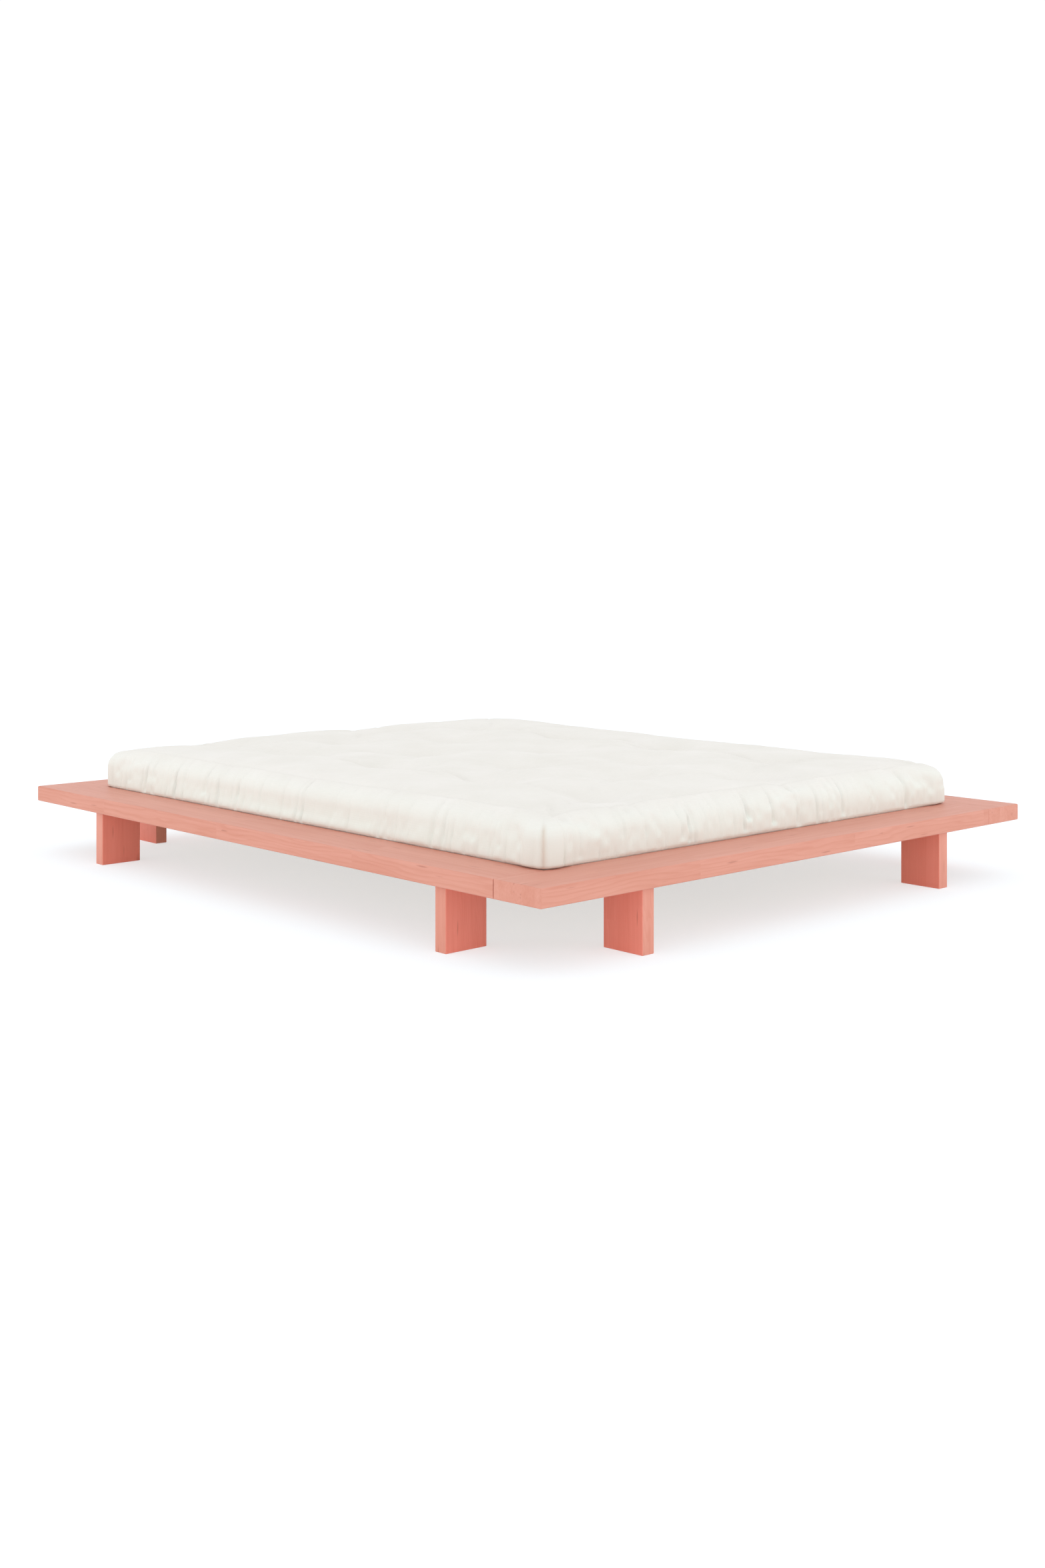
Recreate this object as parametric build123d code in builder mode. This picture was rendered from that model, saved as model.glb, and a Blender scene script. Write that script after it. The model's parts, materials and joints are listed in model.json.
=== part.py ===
from build123d import *
import os

# Low platform bed: four flat boards meet like a pinwheel round a recess for the mattress. They stand on
# eight upright boards, two near each corner. Steel slat rails, a centre beam and a roll of slats carry a
# tufted futon. Millimetres: +X across the bed, +Y towards the head, +Z up, origin on the floor at the centre.
# The left rail and the foot board are drawn, and half a turn gives the right rail and the head board.

# Mattress and the recess round it
mattress_width = 1600
mattress_length = 2000
mattress_thickness = 152
mattress_corner_radius = 45
mattress_edge_radius = 28
mattress_gap = 20
mattress_lift = 0.3

# Boards
board_width = 160
board_thickness = 47
outer_rounding = 4
inner_rounding = 1.0

# Upright leg boards
leg_height = 160
leg_thickness = 40
leg_outer_inset = 17
leg_inner_inset = 13
leg_from_corner = 347
right_rail_foot_leg_from_corner = 250
leg_rounding = 2.0
foot_chamfer = 1.0

# Wooden dowels
dowel_radius = 5
dowel_clearance = 0.05
corner_dowel_length = 80
corner_dowel_spacing = 50
leg_dowel_length = 60
leg_dowel_inset = 15

# Wood screws with countersunk heads
screw_radius = 2.25
screw_length = 25
screw_head_radius = 4.2
screw_tip_length = 5
screw_socket_radius = 1.7
screw_socket_depth = 1.4
screw_clearance = 0.05
sink_angle = 90

# Bent and flat steel
steel = 3
bend_radius = 1.5
corner_plate_width = 110
corner_plate_length = 150
plate_rounding = 6
corner_screw_spacing = 60
corner_screw_rows = (24, 56)
bracket_length = 100
bracket_flange = 40
bracket_screw_spacing = 30
bracket_screw_inset = 17

# Slat rails, slats and the tape that joins them
rail_height = 33
rail_ledge = 30
rail_end_gap = 20
rail_screw_count = 7
rail_screw_end = 90
rail_screw_inset = 12
slat_count = 17
slat_width = 70
slat_thickness = 18
slat_end_clearance = 2
slat_end_gap = 30
slat_rounding = 3
tape_width = 20
tape_thickness = 1.2
tape_inset = 110
staple_width = 12
staple_depth = 6
staple_wire = 1.2

# Centre beam, its hangers, its leg and the levelling foot
beam_width = 60
beam_height = 40
beam_end_clearance = 0.5
beam_rounding = 2
hanger_width = 90
hanger_top_gap = 5
hanger_seat = 45
hanger_screw_spacing = 30
hanger_screw_drop = 11
hanger_screw_rows = (0, 15)
seat_screw_inset = 15
seat_screw_spacing = 20
post_size = 45
post_clearance = 22
stud_radius = 4
stud_length = 50
foot_radius = 25
foot_height = 8
foot_rounding = 2
thread_radius = 5
thread_clearance = 0.06
thread_length = 38
thread_travel = 10
insert_radius = 6.5
insert_length = 15
bore_relief = 0.3
bore_spare = 2
end_chamfer = 1

# Sizes that follow
frame_width = mattress_width + 2 * (mattress_gap + board_width)
frame_length = mattress_length + 2 * (mattress_gap + board_width)
half_width = frame_width / 2
half_length = frame_length / 2
opening_x = half_width - board_width
opening_y = half_length - board_width
board_top = leg_height + board_thickness
board_middle = leg_height + board_thickness / 2
leg_width = board_width - leg_outer_inset - leg_inner_inset
leg_middle_inset = leg_outer_inset + leg_width / 2
slat_length = 2 * (opening_x - steel - slat_end_clearance)
slat_pitch = (2 * (opening_y - slat_end_gap) - slat_width) / (slat_count - 1)
slat_top = leg_height + slat_thickness
rail_length = 2 * (opening_y - rail_end_gap)
beam_bottom = leg_height - beam_height
hanger_top = board_top - hanger_top_gap
seat_bottom = beam_bottom - steel
tape_x = slat_length / 2 - tape_inset

HALF_TURN = Location((0, 0, 0), (0, 0, 180))
DOWN = (0, 0, -1)
BASE = (Align.CENTER, Align.CENTER, Align.MIN)
TOP = (Align.CENTER, Align.CENTER, Align.MAX)

os.makedirs("parts", exist_ok=True)


def spot(x, y, z, direction):
    """A place on a surface whose outward normal is the direction; holes and screws go the other way."""
    return Location(Plane((x, y, z), z_dir=direction))


def both(spots):
    """The spots of one half of the frame and those of the other half."""
    return spots + [HALF_TURN * each for each in spots]


def save(part, name):
    """Labels a finished piece and writes it to its own file."""
    part.label = name
    export_step(part, f"parts/{name}.step")


def turned(part, name):
    """The same piece on the other half of the frame."""
    with BuildPart() as copy:
        add(part, rotation=(0, 0, 180))
    save(copy.part, name)


def screw_hole():
    """Pilot hole under a steel plate, for a screw whose head is flush with the plate."""
    Hole(screw_radius + screw_clearance, screw_length - steel + screw_clearance)


def plate_hole(plate_spots):
    """Countersunk holes through a steel plate, seen from the side of the screw heads."""
    with Locations(*plate_spots):
        CounterSinkHole(
            screw_radius + screw_clearance,
            screw_head_radius + screw_clearance,
            steel,
            sink_angle,
        )


def sunk(spots):
    """The same spots moved through the plate to the wood behind it."""
    return [each * Location((0, 0, -steel)) for each in spots]


# Places of the fasteners on the left rail and the foot board. The corner plate and the dowels cross the
# butt joint, where the end of the left rail meets the inner edge of the foot board.
corner_x = -half_width + board_width / 2
corner_y = -opening_y
corner_screw_spots = [
    spot(corner_x + across * corner_screw_spacing / 2, corner_y + side * row, leg_height - steel, DOWN)
    for across in (-1, 1)
    for side in (-1, 1)
    for row in corner_screw_rows
]
corner_dowel_spots = [
    spot(corner_x + across * corner_dowel_spacing, corner_y, board_middle, (0, 1, 0))
    for across in (-1, 0, 1)
]
# The second joint of the half frame: the right rail runs through, and the foot board butts against it.
cross_x = opening_x
cross_y = -half_length + board_width / 2
cross_screw_spots = [
    spot(cross_x + side * row, cross_y + across * corner_screw_spacing / 2, leg_height - steel, DOWN)
    for across in (-1, 1)
    for side in (-1, 1)
    for row in corner_screw_rows
]
cross_dowel_spots = [
    spot(cross_x, cross_y + across * corner_dowel_spacing, board_middle, (1, 0, 0))
    for across in (-1, 0, 1)
]
corner_spots = both(corner_screw_spots + cross_screw_spots)
dowel_spots = both(corner_dowel_spots + cross_dowel_spots)


def half_legs(names, first_from_corner, turn):
    """Name, place and bracket side of four legs, two under a side rail and then two under an end board:
    local x runs inward and z is up. The first stands at its own distance from the free end of its rail."""
    side_x = -half_width + leg_middle_inset
    end_y = -half_length + leg_middle_inset
    first_y = half_length - first_from_corner - leg_thickness / 2
    side_y = half_length - leg_from_corner - leg_thickness / 2
    end_x = half_width - leg_from_corner - leg_thickness / 2
    places = [
        (Location((side_x, first_y, leg_height)), 1),
        (Location((side_x, -side_y, leg_height)), 1),
        (Location((-end_x, end_y, leg_height), (0, 0, 90)), -1),
        (Location((end_x, end_y, leg_height), (0, 0, 90)), -1),
    ]
    return [(name, turn * place, side) for name, (place, side) in zip(names, places)]


def leg_dowel_places():
    """Dowel centres in a leg's own frame, at its top face."""
    reach = leg_width / 2 - leg_dowel_inset
    return [Location((side * reach, 0, 0)) for side in (-1, 1)]


def leg_screw_places(side):
    """Bracket screws that go into the leg, in the leg's own frame."""
    face = side * (leg_thickness / 2 + steel)
    drop = -bracket_flange + bracket_screw_inset
    return [spot(n * bracket_screw_spacing, face, drop, (0, side, 0)) for n in (-1, 0, 1)]


def board_screw_places(side):
    """Bracket screws that go up into the board, in the leg's own frame."""
    out = side * (leg_thickness / 2 + bracket_flange - bracket_screw_inset)
    return [spot(n * bracket_screw_spacing, out, -steel, DOWN) for n in (-1, 0, 1)]


def leg_dowels_of(some_legs):
    """Dowel spots of some of the legs."""
    return [frame * place for _, frame, _ in some_legs for place in leg_dowel_places()]


def leg_screws_of(some_legs):
    """Spots of the bracket screws that go into some of the legs."""
    return [frame * place for _, frame, side in some_legs for place in leg_screw_places(side)]


def board_screws_of(some_legs):
    """Spots of the bracket screws that go into the board above some of the legs."""
    return [frame * place for _, frame, side in some_legs for place in board_screw_places(side)]


# Seven legs stand equally far from their corners, and the foot leg of the right rail stands nearer its own.
left_names = ("leg_left_head", "leg_left_foot", "leg_foot_left", "leg_foot_right")
right_names = ("leg_right_foot", "leg_right_head", "leg_head_right", "leg_head_left")
left_legs = half_legs(left_names, leg_from_corner, Location())
right_legs = half_legs(right_names, right_rail_foot_leg_from_corner, HALF_TURN)
legs = left_legs + right_legs

rail_screw_span = rail_length - 2 * rail_screw_end
rail_screw_z = leg_height - steel + rail_height - rail_screw_inset
rail_screw_pitch = rail_screw_span / (rail_screw_count - 1)
rail_screw_spots = [
    spot(-opening_x + steel, n * rail_screw_pitch - rail_screw_span / 2, rail_screw_z, (1, 0, 0))
    for n in range(rail_screw_count)
]

hanger_face_y = -opening_y + steel
hanger_spots = [
    spot(across * hanger_screw_spacing, hanger_face_y, hanger_top - hanger_screw_drop - row, (0, 1, 0))
    for across in (-1, 0, 1)
    for row in hanger_screw_rows
]
seat_spots = [
    spot(0, hanger_face_y + seat_screw_inset + n * seat_screw_spacing, seat_bottom, DOWN)
    for n in (0, 1)
]

# Side rails: boards along the bed. The left rail's head end is free and runs out to the corner, and its
# foot end butts against the foot board. The right rail is drawn in the left one's place and turned.
rails = (("left", left_legs[:2], Location()), ("right", right_legs[:2], HALF_TURN))
for rail_name, rail_legs, turn in rails:
    with BuildPart() as side_rail:
        with Locations((corner_x, (half_length - opening_y) / 2, leg_height)):
            Box(board_width, half_length + opening_y, board_thickness, align=BASE)
        outer = side_rail.edges().filter_by(Axis.Y).filter_by_position(Axis.X, -half_width, -half_width)
        head = side_rail.edges().filter_by_position(Axis.Y, half_length, half_length)
        fillet(outer + head, outer_rounding)
        inner = side_rail.edges().filter_by(Axis.Y).filter_by_position(Axis.X, -opening_x, -opening_x)
        fillet(inner, inner_rounding)
        with Locations(*corner_dowel_spots):
            Cylinder(dowel_radius + dowel_clearance, corner_dowel_length, mode=Mode.SUBTRACT)
        # The dowels of the head corner go into its inner edge.
        with Locations(*[HALF_TURN * each for each in cross_dowel_spots]):
            Cylinder(dowel_radius + dowel_clearance, corner_dowel_length, mode=Mode.SUBTRACT)
        with Locations(*sunk(corner_screw_spots + [HALF_TURN * each for each in cross_screw_spots])):
            screw_hole()
        with Locations(*[turn * each for each in leg_dowels_of(rail_legs)]):
            Cylinder(dowel_radius + dowel_clearance, leg_dowel_length, mode=Mode.SUBTRACT)
        with Locations(*sunk([turn * each for each in board_screws_of(rail_legs)] + rail_screw_spots)):
            screw_hole()
    with BuildPart() as placed:
        with Locations(turn):
            add(side_rail.part)
    save(placed.part, f"side_rail_{rail_name}")

# Foot board: a board across the bed. Its left end is free, and its right end butts against the right rail.
with BuildPart() as end_board:
    with Locations(((opening_x - half_width) / 2, cross_y, leg_height)):
        Box(half_width + opening_x, board_width, board_thickness, align=BASE)
    outer = end_board.edges().filter_by(Axis.X).filter_by_position(Axis.Y, -half_length, -half_length)
    left = end_board.edges().filter_by_position(Axis.X, -half_width, -half_width)
    fillet(outer + left, outer_rounding)
    inner = end_board.edges().filter_by(Axis.X).filter_by_position(Axis.Y, -opening_y, -opening_y)
    fillet(inner, inner_rounding)
    with Locations(*(corner_dowel_spots + cross_dowel_spots)):
        Cylinder(dowel_radius + dowel_clearance, corner_dowel_length, mode=Mode.SUBTRACT)
    with Locations(*sunk(corner_screw_spots + cross_screw_spots)):
        screw_hole()
    with Locations(*leg_dowels_of(left_legs[2:])):
        Cylinder(dowel_radius + dowel_clearance, leg_dowel_length, mode=Mode.SUBTRACT)
    with Locations(*sunk(board_screws_of(left_legs[2:]) + hanger_spots)):
        screw_hole()
save(end_board.part, "end_board_foot")
turned(end_board.part, "end_board_head")

# Legs: short boards on end, their narrow edge outward.
for name, frame, side in legs:
    with BuildPart() as leg:
        Box(leg_width, leg_thickness, leg_height, align=TOP)
        upright = leg.edges().filter_by(Axis.Z)
        fillet(upright, leg_rounding)
        foot = leg.faces().sort_by(Axis.Z)[0].edges()
        chamfer(foot, foot_chamfer)
        with Locations(*leg_dowel_places()):
            Cylinder(dowel_radius + dowel_clearance, leg_dowel_length, mode=Mode.SUBTRACT)
        with Locations(*sunk(leg_screw_places(side))):
            screw_hole()
    with BuildPart() as placed:
        with Locations(frame):
            add(leg.part)
    save(placed.part, name)

# Leg brackets: a bent steel angle on one side of each leg, screwed to the leg and to the board above it.
bracket_parts = []
for _, frame, side in legs:
    with BuildPart() as bracket:
        with BuildSketch(Plane.YZ.offset(-bracket_length / 2)):
            with BuildLine():
                face = side * leg_thickness / 2
                Polyline(
                    (face, -bracket_flange),
                    (face, 0),
                    (face + side * bracket_flange, 0),
                    (face + side * bracket_flange, -steel),
                    (face + side * steel, -steel),
                    (face + side * steel, -bracket_flange),
                    close=True,
                )
            make_face()
        extrude(amount=bracket_length)
        along = bracket.edges().filter_by(Axis.X)
        crease = along.filter_by_position(Axis.Z, -steel, 0).sort_by(Axis.Y, reverse=side < 0)
        fillet(crease[0], bend_radius + steel)
        along = bracket.edges().filter_by(Axis.X)
        hollow = along.filter_by_position(Axis.Z, -steel, -steel).sort_by(Axis.Y, reverse=side < 0)
        fillet(hollow[0], bend_radius)
        plate_hole(leg_screw_places(side) + board_screw_places(side))
    bracket_parts.append((frame, bracket.part))
with BuildPart() as leg_brackets:
    for frame, bracket_part in bracket_parts:
        with Locations(frame):
            add(bracket_part)
save(leg_brackets.part, "leg_brackets")

# One wood screw: flat head with a hexagon socket, shank and point. Its head is flush with its spot.
with BuildPart() as screw:
    with BuildSketch(Plane.XZ):
        with BuildLine():
            Polyline(
                (0, 0),
                (screw_head_radius, 0),
                (screw_radius, screw_radius - screw_head_radius),
                (screw_radius, screw_tip_length - screw_length),
                (0, -screw_length),
                close=True,
            )
        make_face()
    revolve(axis=Axis.Z)
    with BuildSketch():
        RegularPolygon(screw_socket_radius, 6)
    extrude(amount=-screw_socket_depth, mode=Mode.SUBTRACT)


def screw_group(name, spots):
    """All the screws of one kind of joint, each a solid of its own."""
    with BuildPart() as group:
        with Locations(*spots):
            add(screw.part)
    save(group.part, name)


def dowel_group(name, spots, length):
    """Round wooden dowels with chamfered ends, centred on their spots."""
    with BuildPart() as dowel:
        Cylinder(dowel_radius, length)
        chamfer(dowel.edges().filter_by(GeomType.CIRCLE), end_chamfer)
    with BuildPart() as group:
        with Locations(*spots):
            add(dowel.part)
    save(group.part, name)


dowel_group("corner_dowels", dowel_spots, corner_dowel_length)
dowel_group("leg_dowels", leg_dowels_of(legs), leg_dowel_length)
screw_group("corner_plate_screws", corner_spots)
screw_group("leg_bracket_screws", leg_screws_of(legs) + board_screws_of(legs))
screw_group("slat_rail_screws", both(rail_screw_spots))
screw_group("beam_hanger_screws", both(hanger_spots + seat_spots))

# Corner plates: flat steel under each butt joint.
with BuildPart() as corner_plate:
    with Locations((corner_x, corner_y, leg_height - steel)):
        Box(corner_plate_width, corner_plate_length, steel, align=BASE)
    fillet(corner_plate.edges().filter_by(Axis.Z), plate_rounding)
    plate_hole(corner_screw_spots)
with BuildPart() as cross_plate:
    with Locations((cross_x, cross_y, leg_height - steel)):
        Box(corner_plate_length, corner_plate_width, steel, align=BASE)
    fillet(cross_plate.edges().filter_by(Axis.Z), plate_rounding)
    plate_hole(cross_screw_spots)
with BuildPart() as corner_plates:
    with Locations(Location(), HALF_TURN):
        add(corner_plate.part)
        add(cross_plate.part)
save(corner_plates.part, "corner_plates")

# Slat rails: steel angles along the inner edges of the side rails. Their ledge is level with the
# underside of the boards.
with BuildPart() as slat_rail:
    with BuildSketch(Plane.XZ.offset(-rail_length / 2)):
        with BuildLine():
            Polyline(
                (-opening_x, leg_height - steel),
                (-opening_x, leg_height - steel + rail_height),
                (-opening_x + steel, leg_height - steel + rail_height),
                (-opening_x + steel, leg_height),
                (-opening_x + rail_ledge, leg_height),
                (-opening_x + rail_ledge, leg_height - steel),
                close=True,
            )
        make_face()
    extrude(amount=rail_length)
    along = slat_rail.edges().filter_by(Axis.Y)
    fillet(along.group_by(Axis.Z)[0].sort_by(Axis.X)[0], bend_radius + steel)
    along = slat_rail.edges().filter_by(Axis.Y)
    fillet(along.filter_by_position(Axis.Z, leg_height, leg_height).sort_by(Axis.X)[0], bend_radius)
    plate_hole(rail_screw_spots)
save(slat_rail.part, "slat_rail_left")
turned(slat_rail.part, "slat_rail_right")

# Centre beam along the bed under the slats.
beam_length = 2 * (opening_y - steel - beam_end_clearance)
with BuildPart() as centre_beam:
    with Locations((0, 0, beam_bottom)):
        Box(beam_width, beam_length, beam_height, align=BASE)
    fillet(centre_beam.edges().filter_by(Axis.Y), beam_rounding)
    with Locations(*sunk(both(seat_spots))):
        screw_hole()
    with Locations((0, 0, beam_bottom)):
        Cylinder(stud_radius + dowel_clearance, stud_length, mode=Mode.SUBTRACT)
save(centre_beam.part, "centre_beam")

# Beam hangers: a back plate on the inner edge of each end board, bent forward into a seat for the beam.
with BuildPart() as hanger:
    with BuildSketch(Plane.YZ.offset(-hanger_width / 2)):
        with BuildLine():
            Polyline(
                (-opening_y, seat_bottom),
                (-opening_y, hanger_top),
                (hanger_face_y, hanger_top),
                (hanger_face_y, beam_bottom),
                (hanger_face_y + hanger_seat, beam_bottom),
                (hanger_face_y + hanger_seat, seat_bottom),
                close=True,
            )
        make_face()
    extrude(amount=hanger_width)
    along = hanger.edges().filter_by(Axis.X)
    fillet(along.group_by(Axis.Z)[0].sort_by(Axis.Y)[0], bend_radius + steel)
    plate_hole(hanger_spots + seat_spots)
save(hanger.part, "beam_hanger_foot")
turned(hanger.part, "beam_hanger_head")

# Centre leg: a post under the middle of the beam, held by a plain stud at its top and bored from below
# for the threaded insert and the levelling foot.
post_height = beam_bottom - post_clearance
with BuildPart() as centre_leg:
    with Locations((0, 0, post_clearance)):
        Box(post_size, post_size, post_height, align=BASE)
    fillet(centre_leg.edges().filter_by(Axis.Z), leg_rounding)
    with Locations((0, 0, beam_bottom)):
        Cylinder(stud_radius + dowel_clearance, stud_length, mode=Mode.SUBTRACT)
    with Locations((0, 0, post_clearance)):
        Cylinder(insert_radius + dowel_clearance, insert_length, align=BASE, mode=Mode.SUBTRACT)
        bore_depth = foot_height + thread_length + thread_travel + bore_spare - post_clearance
        Cylinder(thread_radius + bore_relief, bore_depth, align=BASE, mode=Mode.SUBTRACT)
save(centre_leg.part, "centre_leg")

with BuildPart() as centre_stud:
    with Locations((0, 0, beam_bottom)):
        Cylinder(stud_radius, stud_length)
    chamfer(centre_stud.edges().filter_by(GeomType.CIRCLE), end_chamfer)
save(centre_stud.part, "centre_leg_stud")

with BuildPart() as foot_insert:
    with Locations((0, 0, post_clearance)):
        Cylinder(insert_radius, insert_length, align=BASE)
        Cylinder(thread_radius + thread_clearance, insert_length, align=BASE, mode=Mode.SUBTRACT)
save(foot_insert.part, "foot_insert")

# Levelling foot: a plastic pad moulded on a threaded rod, drawn as a plain shank.
with BuildPart() as foot_pad:
    Cylinder(foot_radius, foot_height, align=BASE)
    fillet(foot_pad.faces().sort_by(Axis.Z)[-1].edges(), foot_rounding)
    Cylinder(thread_radius + dowel_clearance, foot_height, align=BASE, mode=Mode.SUBTRACT)
save(foot_pad.part, "levelling_foot_pad")

with BuildPart() as foot_rod:
    with Locations((0, 0, foot_rounding)):
        Cylinder(thread_radius, foot_height - foot_rounding + thread_length, align=BASE)
    chamfer(foot_rod.faces().sort_by(Axis.Z)[-1].edges(), end_chamfer)
save(foot_rod.part, "levelling_foot_rod")

# Slats: a roll of separate boards across the bed, joined by two tapes stapled under them.
slat_ys = [(n - (slat_count - 1) / 2) * slat_pitch for n in range(slat_count)]
staple_spots = [Location((side * tape_x, y, leg_height)) for side in (-1, 1) for y in slat_ys]
with BuildPart() as slat_staples:
    with Locations(*staple_spots):
        with Locations((0, 0, -tape_thickness)):
            Box(staple_width, staple_wire, staple_wire / 2, align=TOP)
        half_span = (staple_width - staple_wire) / 2
        with Locations((half_span, 0, -tape_thickness), (-half_span, 0, -tape_thickness)):
            Box(staple_wire, staple_wire, tape_thickness + staple_depth, align=BASE)
save(slat_staples.part, "slat_staples")

for number, slat_y in enumerate(slat_ys, start=1):
    with BuildPart() as slat:
        with Locations((0, slat_y, leg_height)):
            Box(slat_length, slat_width, slat_thickness, align=BASE)
        fillet(slat.edges().filter_by(Axis.X), slat_rounding)
        add(slat_staples.part, mode=Mode.SUBTRACT)
    save(slat.part, f"slat_{number:02d}")

for side, name in ((-1, "slat_tape_left"), (1, "slat_tape_right")):
    with BuildPart() as tape:
        with Locations((side * tape_x, 0, leg_height)):
            Box(tape_width, slat_ys[-1] - slat_ys[0] + slat_width, tape_thickness, align=TOP)
        add(slat_staples.part, mode=Mode.SUBTRACT)
    save(tape.part, name)

# Futon: a tufted mattress that lies on the slats, sunk a little below the top of the boards.
with BuildPart() as futon:
    with BuildSketch(Plane.XY.offset(slat_top + mattress_lift)):
        RectangleRounded(mattress_width, mattress_length, mattress_corner_radius)
    extrude(amount=mattress_thickness)
    rims = futon.faces().sort_by(Axis.Z)[0].edges() + futon.faces().sort_by(Axis.Z)[-1].edges()
    fillet(rims, mattress_edge_radius)
save(futon.part, "futon_mattress")
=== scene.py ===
# %% [markdown]
# # A low platform bed with a tufted futon
# The bed is a ring of flat pine boards, stained coral, that stands on eight upright boards. A cotton futon
# lies in the middle of the ring. This notebook keeps the frame as it was designed, in metres, and adds what
# the eye needs: stained wood with its grain, steel and raw pine underneath, and a futon of real cloth with
# tufts, gathered sides and corner seams.

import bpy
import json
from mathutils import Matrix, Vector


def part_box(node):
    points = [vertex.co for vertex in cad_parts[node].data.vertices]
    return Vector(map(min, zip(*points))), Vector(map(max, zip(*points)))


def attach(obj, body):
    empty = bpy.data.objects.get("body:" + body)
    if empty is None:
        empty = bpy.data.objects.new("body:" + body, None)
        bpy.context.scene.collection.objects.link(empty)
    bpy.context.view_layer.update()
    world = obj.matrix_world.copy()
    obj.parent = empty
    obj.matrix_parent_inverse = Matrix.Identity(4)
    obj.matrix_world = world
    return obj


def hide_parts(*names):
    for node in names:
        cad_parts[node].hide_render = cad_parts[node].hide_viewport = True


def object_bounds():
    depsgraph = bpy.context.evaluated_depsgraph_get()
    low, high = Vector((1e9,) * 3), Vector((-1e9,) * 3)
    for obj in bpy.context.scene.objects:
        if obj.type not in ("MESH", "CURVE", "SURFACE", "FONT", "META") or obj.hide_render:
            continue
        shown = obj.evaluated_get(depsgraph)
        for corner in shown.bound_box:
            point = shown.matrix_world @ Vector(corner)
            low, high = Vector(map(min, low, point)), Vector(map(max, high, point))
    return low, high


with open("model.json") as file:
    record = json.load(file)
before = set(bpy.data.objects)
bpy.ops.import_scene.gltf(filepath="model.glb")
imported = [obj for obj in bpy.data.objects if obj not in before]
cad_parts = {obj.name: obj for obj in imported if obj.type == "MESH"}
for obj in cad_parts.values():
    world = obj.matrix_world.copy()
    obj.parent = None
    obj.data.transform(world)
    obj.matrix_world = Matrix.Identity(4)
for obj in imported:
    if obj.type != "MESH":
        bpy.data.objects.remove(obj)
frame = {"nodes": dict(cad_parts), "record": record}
cad_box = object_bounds()
print("nodes in the frame:", len(frame["nodes"]))

# %% Tools used everywhere
import json
import math

import bpy
import numpy as np

scene = bpy.context.scene
MM = 0.001


def linear(hex_colour):
    """A hex sRGB colour as linear values: c / 12.92 below 0.04045, ((c + 0.055) / 1.055) ** 2.4 above."""
    channels = [int(hex_colour[i:i + 2], 16) / 255 for i in (1, 3, 5)]
    return [c / 12.92 if c <= 0.04045 else ((c + 0.055) / 1.055) ** 2.4 for c in channels] + [1.0]


def add_node(tree, kind, inputs=None, **settings):
    """Adds one shader node. Settings are its properties. Each input is a value, a socket, or a node whose
    first output feeds it."""
    node = tree.nodes.new("ShaderNode" + kind)
    for name, value in settings.items():
        setattr(node, name, value)
    for key, value in (inputs or {}).items():
        if isinstance(value, bpy.types.Node):
            value = value.outputs[0]
        if isinstance(value, bpy.types.NodeSocket):
            tree.links.new(value, node.inputs[key])
        else:
            node.inputs[key].default_value = value
    return node


def new_material(name):
    """A new material with its node tree and its Principled shader."""
    material = bpy.data.materials.new(name)
    material.use_nodes = True
    return material, material.node_tree, material.node_tree.nodes["Principled BSDF"]


def mesh_object(name, points, faces, material):
    """Makes one smooth-shaded object at the origin from an array of points and a list of faces."""
    mesh = bpy.data.meshes.new(name)
    mesh.from_pydata(points.tolist(), [], faces)
    mesh.update()
    mesh.shade_smooth()
    mesh.materials.append(material)
    made = bpy.data.objects.new(name, mesh)
    scene.collection.objects.link(made)
    return made


# %% [markdown]
# ## Camera
# The bed is seen from a little under a metre up, standing off one corner, with a level camera, so that
# upright edges stay upright: a camera tilted down would make the legs lean. A level camera needs its lens
# shifted down instead, which puts the horizon above the middle of the view.

# %% Camera
SENSOR = 36.0
LENS = 40.04
SHIFT_DOWN = 0.1453
EYE_HEIGHT = 0.946
HEADING = math.radians(42.72)
CORNER_AHEAD = 3.8765
CORNER_ASIDE = 0.0406

near_corner = cad_box[0]
ahead = (math.sin(HEADING), math.cos(HEADING))
aside = (math.cos(HEADING), -math.sin(HEADING))
eye = [near_corner[i] - CORNER_AHEAD * ahead[i] - CORNER_ASIDE * aside[i] for i in (0, 1)] + [EYE_HEIGHT]

camera_data = bpy.data.cameras.new("camera")
camera_data.sensor_width = SENSOR
camera_data.lens = LENS
camera_data.shift_y = -SHIFT_DOWN
camera_data.clip_end = 200
camera = bpy.data.objects.new("camera", camera_data)
camera.location = eye
camera.rotation_euler = (math.pi / 2, 0, -HEADING)
scene.collection.objects.link(camera)
scene.camera = camera
print("camera at", [round(v, 3) for v in eye])

# %% [markdown]
# ## Studio
# A white sweep lit from all round gives an even, quiet light: the front edges of the wood are as bright as
# its top, and the only shade is a soft grey one under the boards. A dome of white light
# does most of it. Two large weak lamps stand to the left and to the right, and each one rakes along one side
# of the futon, which is what makes its folds show. The floor is two sheets. The upper one glows a little, so
# that the shade on it stays pale, and Cycles hides it from the bounced light. The bed is lit by the lower
# one, a plain white floor, because a glowing floor would light the boards from below and turn the shade pink.

# %% Studio light
DOME = 1.03
LAMP_POWER = 22
LAMP_SIZE = 2.5
LAMP_HEIGHT = 1.3
lamp_places = {"left_lamp": (-5.0, 1.2), "right_lamp": (1.2, -5.2)}

world = bpy.data.worlds.new("studio")
world.use_nodes = True
world.node_tree.nodes["Background"].inputs["Color"].default_value = (1, 1, 1, 1)
world.node_tree.nodes["Background"].inputs["Strength"].default_value = DOME
scene.world = world
scene.view_settings.view_transform = "Standard"
scene.view_settings.look = "None"

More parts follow.
